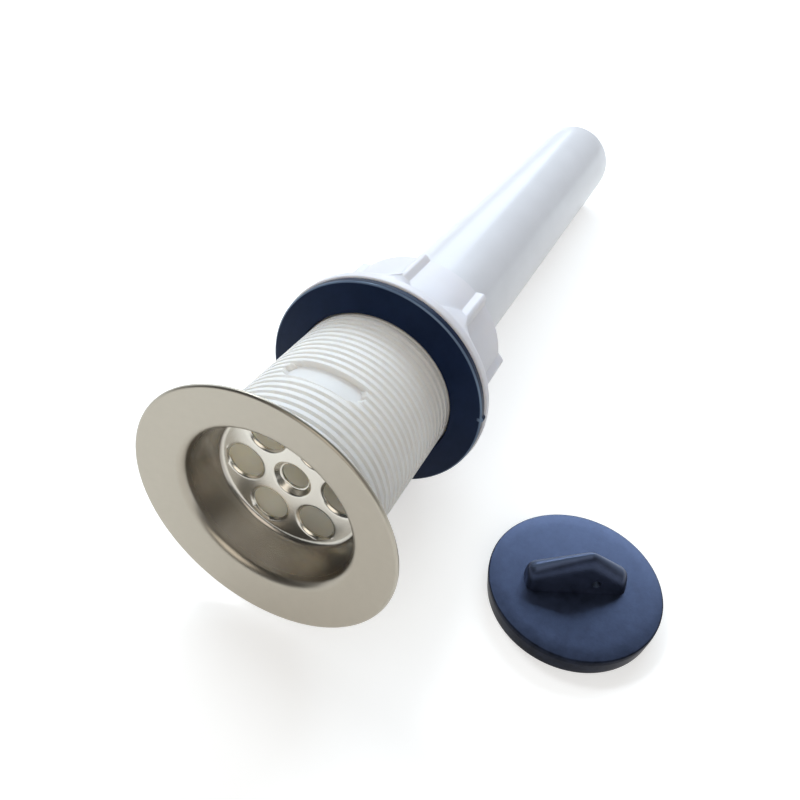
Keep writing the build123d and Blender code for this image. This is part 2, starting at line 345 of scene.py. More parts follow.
class Finish(Nodes):
    """A material under construction: its node tree and its Principled shader."""

    MOTTLE_RANGE = (0.3, 0.7)
    CLOUD_RANGE = (0.35, 0.75)
    BUMP_DISTANCE = 0.0002

    def __init__(self, name):
        self.material = bpy.data.materials.new(name)
        self.material.use_nodes = True
        super().__init__(self.material.node_tree)
        self.shader = self.tree.nodes["Principled BSDF"]
        self.coordinates = self.add("ShaderNodeTexCoord").outputs["Object"]

    def noise(self, scale, detail=4.0, roughness=0.55):
        node = self.add("ShaderNodeTexNoise")
        node.inputs["Scale"].default_value = scale
        node.inputs["Detail"].default_value = detail
        node.inputs["Roughness"].default_value = roughness
        self.link(self.coordinates, node.inputs["Vector"])
        return node.outputs["Fac"]

    def mottle(self, scale, low=0.0, high=1.0):
        """Even noise between two values."""
        return self.spread(self.noise(scale), low, high, *self.MOTTLE_RANGE)

    def cloud(self, scale, detail, roughness):
        """Sparse noise from 0 to 1."""
        return self.spread(self.noise(scale, detail, roughness), 0.0, 1.0, *self.CLOUD_RANGE)

    def attribute(self, name):
        return self.add("ShaderNodeAttribute", attribute_name=name).outputs["Fac"]

    def mix(self, share, first, second):
        """A colour between two, of which the first may be another node's output."""
        node = self.add("ShaderNodeMix", data_type="RGBA")
        if isinstance(first, bpy.types.NodeSocket):
            self.link(first, node.inputs["A"])
        else:
            node.inputs["A"].default_value = (*first, 1.0)
        node.inputs["B"].default_value = (*second, 1.0)
        self.link(share, node.inputs["Factor"])
        return node.outputs["Result"]

    def bump(self, height, strength):
        node = self.add("ShaderNodeBump")
        node.inputs["Strength"].default_value = strength
        node.inputs["Distance"].default_value = self.BUMP_DISTANCE
        self.link(height, node.inputs["Height"])
        self.link(node.outputs["Normal"], self.shader.inputs["Normal"])

    def set(self, **values):
        for key, value in values.items():
            self.shader.inputs[key.replace("_", " ")].default_value = value

    def to(self, socket, source):
        self.link(source, self.shader.inputs[socket])


def tinted(base, factor):
    """A colour scaled by a factor, for the darker or lighter end of a mottle."""
    return tuple(min(1.0, channel * factor) for channel in base)


def steel_finish(colours):
    """Satin flange that turns polished in the cup, with fine mottling; the cup's wall gets a darker base
    colour as painted shade and the strainer plate a paler one as painted light.
    """
    finish = Finish("satin_steel")
    flange = finish.mix(finish.mottle(420.0), tinted(colours.steel, 0.985), tinted(colours.steel, 1.015))
    # This mix darkens the base colour on the cup's wall: painted shade
    cup = finish.mix(finish.attribute("polish_and_shade"), flange, colours.cup_wall_shade)
    # This mix turns the strainer plate's base colour paler: painted light
    finish.to("Base Color", finish.mix(finish.attribute("plate"), cup, colours.plate))
    finish.to("Roughness", finish.attribute("satin"))
    finish.set(Metallic=1.0)
    finish.bump(finish.noise(2600.0, 2.0), 0.04)
    return finish.material


def moulded_finish(name, base, roughness, grain=0.0, coat=0.0, glow=0.0, streak=0.05, inside=None):
    """Moulded plastic: slight tone and gloss variation, a fine grain, and light let through its walls.

    Where a colour for the inside is given, the attribute "inner" turns the plastic to it and to full glow;
    that warmer, paler colour paints the warm light let through the walls.
    """
    finish = Finish(name)
    shade = finish.mix(finish.mottle(70.0), tinted(base, 0.975), tinted(base, 1.02))
    finish.set(Roughness=roughness, Coat_Weight=coat, Coat_Roughness=0.12)
    if streak:
        finish.to("Roughness", finish.mottle(190.0, roughness - streak, roughness + streak))
    finish.set(Subsurface_Weight=glow, Subsurface_Radius=(1.0, 0.8, 0.6), Subsurface_Scale=0.01)
    if inside is not None:
        inner = finish.attribute("inner")
        finish.to("Subsurface Weight", finish.spread(inner, glow, 1.0))
        shade = finish.mix(inner, shade, inside)
    finish.to("Base Color", shade)
    if grain:
        finish.bump(finish.noise(1500.0, 3.0), grain)
    return finish.material


def plug_finish(colours):
    """Dark rubber with a bluish sheen and a cloudy bloom, dull on the disc's side, with a painted highlight
    on the fin's upward-facing ridge.
    """
    finish = Finish("plug_rubber")
    rubber = finish.mix(finish.cloud(240.0, 8.0, 0.7), colours.plug, colours.plug_bloom)
    # The ridge mix turns the base colour paler where the fin's ridge faces up: a painted highlight
    finish.to("Base Color", finish.mix(finish.attribute("ridge"), rubber, colours.plug_ridge_highlight))
    finish.to("Specular IOR Level", finish.spread(finish.attribute("rim"), 0.85, 0.03))
    finish.set(Roughness=0.32, Specular_Tint=(0.42, 0.55, 1.0, 1.0))
    finish.bump(finish.noise(1700.0, 3.0), 0.08)
    return finish.material


def washer_finish(colours):
    """Dark rubber, dull on its face and glossy on its rounded front edge, where a pale blue base colour also
    paints a highlight.
    """
    finish = Finish("washer_rubber")
    edge = finish.attribute("edge")
    rubber = finish.mix(finish.cloud(110.0, 6.0, 0.62), colours.washer, colours.washer_bloom)
    # On the front edge the base colour turns pale blue as a painted highlight, besides the real gloss below
    finish.to("Base Color", finish.mix(edge, rubber, colours.washer_edge_highlight))
    finish.to("Roughness", finish.spread(edge, 0.36, 0.24))
    finish.to("Specular IOR Level", finish.spread(edge, 0.12, 1.0))
    finish.set(Specular_Tint=(0.6, 0.8, 1.0, 1.0))
    finish.bump(finish.noise(1700.0, 3.0), 0.06)
    return finish.material


class SINKWASTE_OT_strainer_cup(bpy.types.Operator):
    """Add the pressed flange, cup and strainer"""

    bl_idname = "sinkwaste.strainer_cup"
    bl_label = "Strainer Cup"

    SECTORS = 6
    SECTOR_ARC = 36
    SECTOR_SIDE = 20
    SECTOR_RINGS = 20
    RING_CROWDING = 1.5
    PLATE_MARGIN = 0.2
    DIMPLE_MARGIN = 0.6
    DIMPLE_SLOPE = 1.0
    DIMPLE_BENDS = (0.8, 0.5)
    LIP_START = 0.02
    LIP_REACH = 0.42
    LIP_POWER = 1.6
    EDGE_FADE = 0.5
    POLISH_DISTANCES = (2.6, 4.4)
    POLISH_RADII = (27.0, 24.0)
    PLATE_RISE = (0.5, 0.05)
    SATIN = 0.36
    POLISH_GLOSS = 0.09
    PLATE_GLOSS = 0.02

    def plate(self, size, outer, radius):
        """Distance of the plate: cup depth + dish * (1 - (r / outer)^2)."""
        return size.cup_depth + size.plate_dish * (1.0 - (radius / outer) ** 2)

    def sector(self, size, inner, outer):
        """One sector of the plate as a grid from a hole's drawn lip to the sector's edge.

        The edge is two arcs about the axis and two straight sides, and each ray runs from the hole's circle
        to it. The lip is drawn down by draw * exp(-(gap / reach)^power), where the gap is from that circle.
        """
        half = np.pi / self.SECTORS
        sweep = np.linspace(-half, half, self.SECTOR_ARC, endpoint=False)
        run = np.linspace(0.0, 1.0, self.SECTOR_SIDE, endpoint=False)
        radius = np.concatenate([
            np.full(self.SECTOR_ARC, outer), outer + run * (inner - outer),
            np.full(self.SECTOR_ARC, inner), inner + run * (outer - inner),
        ])
        angle = np.concatenate([
            sweep, np.full(self.SECTOR_SIDE, half), -sweep, np.full(self.SECTOR_SIDE, -half)
        ])
        edge = np.stack([radius * np.cos(angle), radius * np.sin(angle)], axis=1)
        centre = np.array((size.hole_circle, 0.0))
        ray = edge - centre
        ray /= np.linalg.norm(ray, axis=1)[:, None]
        share = np.linspace(0.0, 1.0, self.SECTOR_RINGS + 1)[:, None, None] ** self.RING_CROWDING
        lip = centre + ray * size.hole_radius
        flat = lip + share * (edge - lip)
        radius = np.hypot(flat[..., 0], flat[..., 1])
        gap = np.linalg.norm(flat - centre, axis=2) - size.hole_radius + self.LIP_START
        inward = np.minimum(outer - radius, self.EDGE_FADE) + self.EDGE_FADE / 2
        lip_drop = size.hole_draw * np.exp(-(gap / self.LIP_REACH) ** self.LIP_POWER)
        lip_drop *= smooth_step(0.0, self.EDGE_FADE, inward)
        lip_drop[-1] = 0.0
        return self.plate(size, outer, radius) + lip_drop, radius, np.arctan2(flat[..., 1], flat[..., 0])

    def execute(self, context):
        size = context.scene.waste_sizes
        rim_drop = size.rim_bend + size.rim_land
        outer = size.cup_floor - size.floor_bend - self.PLATE_MARGIN
        inner = size.dimple_radius + self.DIMPLE_MARGIN
        bowl = rounded_profile(
            [(rim_drop, size.flange_radius), (0.0, size.flange_radius), (size.dish, size.cup_mouth),
             (size.cup_depth, size.cup_floor), (size.cup_depth, outer)],
            (size.rim_bend, size.throat_bend, size.floor_bend), 14
        )
        middle = self.plate(size, outer, inner)
        bottom = middle + size.dimple_depth
        centre = rounded_profile(
            [(middle, inner), (middle, size.dimple_radius), (bottom, size.dimple_radius - self.DIMPLE_SLOPE),
             (bottom, size.dimple_hole)], self.DIMPLE_BENDS, 6
        )
        half = np.pi / self.SECTORS
        angles = half + ring_angles(self.SECTORS * self.SECTOR_ARC)
        grids = [revolved(subdivided(bowl, 1.2), angles), revolved(centre, angles)]
        distance, radius, angle = self.sector(size, inner, outer)
        for number in range(self.SECTORS):
            points = on_waste(distance, radius, angle + half + number * 2 * half)
            grids.append((points, grid_faces(*distance.shape, close_columns=True)))
        finish = steel_finish(context.scene.waste_colours)
        cup = build_piece("flange_strainer", grids, finish, "strainer_cup", 50.0)
        distance, radius = off_waste(piece_points(cup))
        # This mask makes the cup's wall glossier and also darkens its base colour as painted shade
        polish_and_shade = smooth_step(*self.POLISH_DISTANCES, distance) * smooth_step(*self.POLISH_RADII, radius)
        low, high = (size.cup_depth - rise for rise in self.PLATE_RISE)
        # This mask makes the plate glossier and also turns its base colour paler as painted light
        plate = smooth_step(low, high, distance)
        point_values(cup, "polish_and_shade", polish_and_shade)
        point_values(cup, "plate", plate)
        point_values(cup, "satin", self.SATIN - self.POLISH_GLOSS * polish_and_shade - self.PLATE_GLOSS * plate)
        front = np.array([polygon.normal for polygon in cup.data.polygons])
        if (front @ AXIS).mean() > 0:
            cup.data.flip_normals()
        shell = cup.modifiers.new("sheet", "SOLIDIFY")
        shell.thickness = size.sheet * MM
        shell.offset = -1.0
        return {"FINISHED"}


class SINKWASTE_OT_threaded_body(bpy.types.Operator):
    """Add the threaded body with its overflow pockets"""

    bl_idname = "sinkwaste.threaded_body"
    bl_label = "Threaded Body"

    TURN_ROWS = 12
    COARSE_STEP = 3.0
    FINE_STEP = 1.0
    FINE_REACH = 30.0
    POCKET_TURN = 3.0
    POCKET_EDGE = (-0.15, 0.35)
    GROOVE = (0.5, 0.95)
    FADE_IN = 4.0
    FADE_OUT = 1.2
    SEAT_MOUTH = 23.1
    SEAT_END = 12.8
    FUNNEL_START = 50.0
    FUNNEL_END = 64.5
    FUNNEL_RADIUS = 16.5
    SOCKET_RADIUS = 18.05
    SOCKET_OUTER = 20.8
    SHOULDER = 82.0
    END = 89.5
    CHAMFER = 0.3
    INNER_RADII = (22.2, 21.6)

    def angles(self):
        """Angles once round with both ends, finer over the two pockets."""
        coarse = np.arange(0.0, 360.0 + 1e-6, self.COARSE_STEP)
        centres = np.array((self.POCKET_TURN, self.POCKET_TURN + 180.0, self.POCKET_TURN + 360.0))
        near = (np.abs(coarse[:, None] - centres) < self.FINE_REACH).any(axis=1)
        fine = np.arange(-self.FINE_REACH, self.FINE_REACH + 1e-6, self.FINE_STEP)
        fine = (centres[:, None] + fine).ravel()
        fine = fine[(fine > 0.0) & (fine < 360.0)]
        return np.radians(np.unique(np.concatenate([coarse[~near], fine, [0.0, 360.0]]).round(6)))

    def thread(self, size, angles):
        """Rows that climb one pitch a turn, so that each keeps its place on the thread's shape.

        r = R - depth * shape(phase) with a broad crest and a narrow root, fading out at both ends; inside a
        pocket's outline r falls to the pocket's round floor.
        """
        pitch, depth = size.thread_pitch, size.thread_depth
        turns = (size.thread_end - size.body_top) / pitch
        row = np.arange(-self.TURN_ROWS, math.ceil((turns + 1) * self.TURN_ROWS))[:, None]
        climb = size.body_top + pitch * (row / self.TURN_ROWS + angles[None, :] / (2 * np.pi))
        phase = np.abs((row % self.TURN_ROWS) / self.TURN_ROWS - 0.5) * 2.0
        shape = smooth_step(*self.GROOVE, phase)
        shape = shape * smooth_step(0.0, self.FADE_IN, climb - size.thread_start)
        shape = shape * smooth_step(0.0, self.FADE_OUT, size.thread_end - climb)
        radius = size.thread_radius - depth * shape
        distance = np.clip(climb, size.body_top, size.thread_end)
        turn = angles[None, :] - math.radians(self.POCKET_TURN)
        across = np.abs(radius * np.sin(turn))
        straight = size.pocket_length / 2 - size.pocket_width / 2
        outline = np.hypot(np.maximum(across - straight, 0.0), distance - size.pocket_distance)
        rise = smooth_step(*self.POCKET_EDGE, outline - size.pocket_width / 2)
        radius = size.pocket_floor + (radius - size.pocket_floor) * rise
        points = on_waste(distance, radius, angles[None, :])
        return points, grid_faces(*distance.shape)

    def execute(self, context):
        size = context.scene.waste_sizes
        angles = self.angles()
        cut = self.CHAMFER
        inside = np.array([
            (size.body_top, size.thread_radius), (size.body_top, self.SEAT_MOUTH),
            (self.SEAT_END, size.body_bore), (self.FUNNEL_START, size.body_bore),
            (self.FUNNEL_END, self.FUNNEL_RADIUS), (TAIL_START, self.FUNNEL_RADIUS),
            (TAIL_START, self.SOCKET_RADIUS), (self.END - cut, self.SOCKET_RADIUS),
            (self.END, self.SOCKET_RADIUS + cut), (self.END, self.SOCKET_OUTER - cut),
            (self.END - cut, self.SOCKET_OUTER), (self.SHOULDER, self.SOCKET_OUTER),
            (size.thread_end, size.thread_radius),
        ])
        points = on_waste(inside[:, :1], inside[:, 1:], angles[None, :])
        grids = [self.thread(size, angles), (points, grid_faces(*points.shape[:2]))]
        colours = context.scene.waste_colours
        finish = moulded_finish(
            "thread_plastic", colours.thread, roughness=0.46, grain=0.08, glow=0.35, inside=colours.inside
        )
        body = build_piece("threaded_body", grids, finish, "waste_body")
        _, radius = off_waste(piece_points(body))
        # These values mark the inside of the body for its painted warm light and full glow
        point_values(body, "inner", smooth_step(*self.INNER_RADII, radius))
        return {"FINISHED"}


class SINKWASTE_OT_tail_pipe(bpy.types.Operator):
    """Add the plain tail pipe"""

    bl_idname = "sinkwaste.tail_pipe"
    bl_label = "Tail Pipe"

    END_LENGTH = 25.5
    END_RELIEF = 0.5
    BENDS = (0.2, 0.1, 0.2, 0.2, 0.5, 0.6)

    def execute(self, context):
        size = context.scene.waste_sizes
        outer, bore = size.pipe_radius, size.pipe_bore
        middle = 0.5 * (TAIL_START + TAIL_END)
        shoulder, end = TAIL_START + self.END_LENGTH, outer - self.END_RELIEF
        profile = rounded_profile(
            [(middle, outer), (shoulder, outer), (shoulder, end), (TAIL_START, end), (TAIL_START, bore),
             (TAIL_END, bore), (TAIL_END, outer), (middle, outer)], self.BENDS, 5
        )
        profile = subdivided(profile, 12.0)[:-1]
        colours = context.scene.waste_colours
        finish = moulded_finish("pipe_plastic", colours.pipe, roughness=0.28, coat=0.2, streak=0.0)
        build_piece("tail", [revolved_loop(profile, ring_angles(160))], finish, "tail_pipe")
        return {"FINISHED"}


class SINKWASTE_OT_sealing_washer(bpy.types.Operator):
    """Add the rubber sealing washer"""

    bl_idname = "sinkwaste.sealing_washer"
    bl_label = "Sealing Washer"

    NIB_TURN = 87.0
    NIB_WIDTH = 0.55
    NIB_HEIGHT = 0.7
    NIB_REACH = 1.0
    BORE_GAP = 0.4
    BENDS = (0.7, 0.5, 0.3, 0.3)
    EDGE_INSETS = (0.52, 0.38)
    EDGE_DEPTHS = (0.42, 0.25)

    def execute(self, context):
        size = context.scene.waste_sizes
        front, edge = size.washer_distance, size.washer_distance + size.washer_taper
        rear = edge + size.washer_rim
        inner, outer = size.thread_radius + self.BORE_GAP, size.washer_radius
        middle = ((front + edge) / 2, (inner + outer) / 2)
        profile = rounded_profile(
            [middle, (edge, outer), (rear, outer), (rear, inner), (front, inner), middle], self.BENDS, 8
        )
        profile = subdivided(profile, 0.9)[:-1]
        angles = ring_angles(420)
        distance, radius = profile[:, :1], profile[:, 1:]
        nib = np.exp(-((angles - math.radians(self.NIB_TURN)) * outer / self.NIB_WIDTH) ** 2)
        reach = smooth_step(outer - self.NIB_REACH, outer, radius)
        radius = radius + self.NIB_HEIGHT * nib[None, :] * reach
        points = on_waste(distance, radius, angles[None, :])
        grid = (points, grid_faces(*radius.shape, close_rows=True, close_columns=True))
        finish = washer_finish(context.scene.waste_colours)
        ring = build_piece("sealing_ring", [grid], finish, "sealing_washer")
        distance, radius = off_waste(piece_points(ring))
        # These values mark the rounded front edge for its gloss and its painted highlight
        at_rim = smooth_step(*self.EDGE_INSETS, outer - radius)
        point_values(ring, "edge", at_rim * smooth_step(*self.EDGE_DEPTHS, distance - edge))
        return {"FINISHED"}


class SINKWASTE_OT_back_nut(bpy.types.Operator):
    """Add the back nut with its grip ribs"""

    bl_idname = "sinkwaste.back_nut"
    bl_label = "Back Nut"

    RIBS = 8
    RIB_TURN = -2.0
    RIM_WIDTH = 2.95
    BACK_LENGTH = 8.0
    RAMP_LENGTH = 16.5
    RAMP_TURN = 18.0
    TOE_LENGTH = 15.0
    TOE_TURN = 9.0
    BODY_RADIUS = 27.0
    BORE = 24.05
    BORE_CHAMFER = 0.5
    FACE_WIDTH = 1.0
    FRONT_LENGTH = 1.2
    FRONT_BEND = 0.5
    END_CHAMFER = 1.2
    RIB_CHAMFER = 0.6
    FLANK = 1.7
    RIM_SOFTNESS = 0.35
    BODY_SOFTNESS = 0.3
    CREST_SOFTNESS = 0.25
    FOOT_SOFTNESS = 0.12
    RIB_REACH = 6.0
    RIB_STEP = 0.3
    PLAIN_STEP = 0.5
    ANGLE_MARGIN = 0.1

    def angles(self):
        """Angles once round, about half a degree apart and closer at the ribs."""
        close = np.arange(-self.RIB_REACH, self.RIB_REACH + self.ANGLE_MARGIN, self.RIB_STEP)
        plain = np.arange(
            self.RIB_REACH + self.PLAIN_STEP, 180.0 / self.RIBS - self.ANGLE_MARGIN, self.PLAIN_STEP
        )
        one = np.radians(np.concatenate([-plain, close, plain]))
        starts = math.radians(self.RIB_TURN) + np.arange(self.RIBS) * 2 * np.pi / self.RIBS
        return np.sort((starts[:, None] + one).ravel())

    def slope_length(self, turn):
        """Length of the slope behind the rim: longest at a rib, falling evenly to the back on both sides."""
        ramp = np.clip(1.0 + turn / math.radians(self.RAMP_TURN), 0.0, 1.0)
        toe = np.clip(1.0 - turn / math.radians(self.TOE_TURN), 0.0, 1.0)
        ramp_rise = ramp * (self.RAMP_LENGTH - self.BACK_LENGTH)
        toe_rise = toe * (self.TOE_LENGTH - self.BACK_LENGTH)
        return self.BACK_LENGTH + np.where(turn < 0.0, ramp_rise, toe_rise)

    def stations(self, front, rim, rear):
        """Distances along the nut behind its front bend, closer at the rim's edge, the ramps and the end."""
        return np.concatenate([
            np.linspace(front + 1.5, rim - 0.8, 2, endpoint=False), np.linspace(rim - 0.8, rim + 0.8, 10),
            np.arange(rim + 1.2, rim + 19.0, 0.4), np.arange(rim + 19.8, rear - 1.5, 1.0),
            np.linspace(rear - 1.4, rear, 8),
        ])[:, None]

    def execute(self, context):
        """r(t, angle): a rim, a slope behind it as long as the angle says, a round body, and ribs on it."""
        size = context.scene.waste_sizes
        front = size.washer_distance + size.washer_taper + size.washer_rim
        rim, rear = front + self.RIM_WIDTH, front + size.nut_length
        body, crown = self.BODY_RADIUS, size.nut_radius
        angles = self.angles()
        spacing = 2 * np.pi / self.RIBS
        turn = ((angles - math.radians(self.RIB_TURN) + spacing / 2) % spacing - spacing / 2)[None, :]
        lead = rounded_profile(
            [(front, self.BORE + self.FACE_WIDTH), (front, crown), (front + self.FRONT_LENGTH, crown)],
            (self.FRONT_BEND,), 5
        )
        along = self.stations(front, rim, rear)
        slope = crown - (crown - body) * (along - rim) / self.slope_length(turn)
        rimmed = -soft_greater(-slope, np.full_like(slope, -crown), self.RIM_SOFTNESS)
        end = np.maximum(along - (rear - self.END_CHAMFER), 0.0)
        radius = soft_greater(rimmed, np.full_like(rimmed, body), self.BODY_SOFTNESS) - end
        flank = (size.rib_width + self.FLANK) / 2 - np.abs(turn) * (body + size.rib_height / 2)
        crest = np.full_like(flank, size.rib_height)
        rib = -soft_greater(-flank * size.rib_height / self.FLANK, -crest, self.CREST_SOFTNESS)
        radius = soft_greater(radius, body + rib - self.RIB_CHAMFER * end, self.FOOT_SOFTNESS)
        cut = self.BORE_CHAMFER
        inner = np.array([
            (rear, self.BORE + cut), (rear - cut, self.BORE),
            (front + cut, self.BORE), (front, self.BORE + cut),
        ])
        ring = np.ones((1, len(angles)))
        distance = np.concatenate([lead[:, :1] * ring, along * ring, inner[:, :1] * ring])
        radius = np.concatenate([lead[:, 1:] * ring, radius, inner[:, 1:] * ring])
        points = on_waste(distance, radius, angles[None, :])
        grids = [(points, grid_faces(*radius.shape, close_rows=True, close_columns=True))]
        colours = context.scene.waste_colours
        finish = moulded_finish("nut_plastic", colours.nut, roughness=0.36, grain=0.02, glow=0.25)
        build_piece("ribbed_nut", grids, finish, "back_nut", 40.0)
        return {"FINISHED"}


class SINKWASTE_OT_plug(bpy.types.Operator):
    """Add the rubber plug with its fin handle"""

    bl_idname = "sinkwaste.plug"
    bl_label = "Plug"

    LONG_END = -13.5
    LONG_END_HEIGHT = 6.6
    SHORT_END = 13.0
    SHORT_END_HEIGHT = 5.4
    PEAK_ALONG = 2.3
    PEAK_SOFTNESS = 1.0
    RIDGE_ROUND = 4.6
    END_ROUND = 2.0
    END_SINK = 0.8
    END_NARROWING = 0.85
    END_CROWDING = 0.2
    ROOT = 2.0
    HOLE_HEIGHT = 3.4
    HOLE_INSET = 0.02
    STEP = 0.2
    SIDE_ROWS = 56
    TOP_ROWS = 12
    DISC_BENDS = (0.2, 2.0, 0.4)
    RIM_INSETS = (-0.45, -0.1)
    HIGHLIGHT_FACING = (0.45, 0.95)
    HIGHLIGHT_HEIGHTS = (1.0, 2.0)

    def disc(self, size):
        """A tapered disc with a short straight band at the top of its side."""
        radius, top = size.plug_radius, size.plug_thickness
        profile = rounded_profile(
            [(0.0, 0.0), (size.plug_foot_radius, 0.0), (radius, top - size.plug_land), (radius, top),
             (0.0, top)], self.DISC_BENDS, 6
        )
        profile = subdivided(profile, 4.0)
        angles = ring_angles(180)
        radius, height = profile[:, :1], profile[:, 1:]
        points = on_plug(radius * np.cos(angles), radius * np.sin(angles), height)
        return points, grid_faces(len(profile), len(angles), close_columns=True)

    def ridge(self, size, along):
        """Height of the ridge: the lower of a climbing and a falling line, with a soft peak."""
        rise = (size.fin_peak - self.LONG_END_HEIGHT) / (self.PEAK_ALONG - self.LONG_END)
        fall = (size.fin_peak - self.SHORT_END_HEIGHT) / (self.SHORT_END - self.PEAK_ALONG)
        climb = self.LONG_END_HEIGHT + rise * (along - self.LONG_END)
        descent = self.SHORT_END_HEIGHT + fall * (self.SHORT_END - along)
        return -soft_greater(-climb, -descent, self.PEAK_SOFTNESS)

    def both_sides(self, side, other_side):
        """A side of the fin and the other side run back, with the end sections doubled to close the ends."""
        ring = np.concatenate([side, other_side[:, ::-1]], axis=1)
        return np.concatenate([ring[:1], ring, ring[-1:]])

    def fin(self, size):
        """Sections along the fin: drafted sides up to the shoulder and half an ellipse over it.

        The sections narrow and sink by a circle's inset at both ends. Points near the chain hole's circle
        are pulled onto it, those inside it go to the middle of the fin, and the faces between those are
        left out.
        """
        span, middle = self.SHORT_END - self.LONG_END, (self.LONG_END + self.SHORT_END) / 2
        share = np.linspace(-0.5, 0.5, int(round(span / self.STEP)) + 1)[:, None]
        crowded = np.sin(np.pi * share) / 2
        along = middle + span * ((1.0 - self.END_CROWDING) * share + self.END_CROWDING * crowded)
        short = np.maximum(self.END_ROUND - np.minimum(along - self.LONG_END, self.SHORT_END - along), 0.0)
        inset = self.END_ROUND - np.sqrt(np.maximum(self.END_ROUND ** 2 - short ** 2, 0.0))
        shoulder = self.ridge(size, along) - self.END_SINK * inset - self.RIDGE_ROUND
        lift = np.linspace(0.0, 1.0, self.SIDE_ROWS, endpoint=False)
        swing = np.linspace(0.0, np.pi / 2, self.TOP_ROWS)
        height = np.concatenate([
            -self.ROOT + (shoulder + self.ROOT) * lift, shoulder + self.RIDGE_ROUND * np.sin(swing)
        ], axis=1)
        draft = (size.fin_foot_width - size.fin_ridge_width) / 2 / size.fin_peak
        taper = np.concatenate([np.ones(self.SIDE_ROWS), np.cos(swing)])
        half = size.fin_foot_width / 2 - draft * np.maximum(height, 0.0) - self.END_NARROWING * inset
        half = half * taper
        along = along * np.ones_like(height)
        gap = np.hypot(along - CHAIN_HOLE_ALONG, height - self.HOLE_HEIGHT)
        hole, lining = size.chain_hole, size.chain_hole - self.HOLE_INSET
        inside = gap < hole - self.STEP / 2
        near = np.where(inside, np.minimum(gap, lining), hole)
        near = np.where(inside & (gap > hole - 1.6 * self.STEP), lining, near)
        pull = np.where(gap < hole + self.STEP / 2, near / np.maximum(gap, 1e-6), 1.0)
        along = CHAIN_HOLE_ALONG + (along - CHAIN_HOLE_ALONG) * pull
        height = self.HOLE_HEIGHT + (height - self.HOLE_HEIGHT) * pull
        half = np.where(inside, 0.0, half)
        across = self.both_sides(half, -half)
        across[[0, -1]] = 0.0
        along, height = self.both_sides(along, along), self.both_sides(height, height)
        inside = self.both_sides(inside, inside).ravel()
        faces = grid_faces(*across.shape, close_columns=True)
        return on_plug(along, across, size.plug_thickness + height), faces[~inside[faces].all(axis=1)]

    def execute(self, context):
        size = context.scene.waste_sizes
        finish = plug_finish(context.scene.waste_colours)
        grids = [self.disc(size), self.fin(size)]
        plug = build_piece("rubber_plug", grids, finish, "plug", 40.0)
        offset = (piece_points(plug) - PLUG_FOOT) / MM
        radius, height = np.hypot(offset[:, 0], offset[:, 1]), offset[:, 2]
        band = size.plug_thickness - size.plug_land
        taper = (size.plug_radius - size.plug_foot_radius) / band
        side = size.plug_radius - taper * np.maximum(band - height, 0.0)
        point_values(plug, "rim", smooth_step(*self.RIM_INSETS, radius - side))
        # Values for the painted highlight: high where the fin's faces point up near its top
        facing = np.array([vertex.normal.z for vertex in plug.data.vertices])
        above = smooth_step(*self.HIGHLIGHT_HEIGHTS, height - size.plug_thickness)
        point_values(plug, "ridge", smooth_step(*self.HIGHLIGHT_FACING, facing) * above)
        return {"FINISHED"}


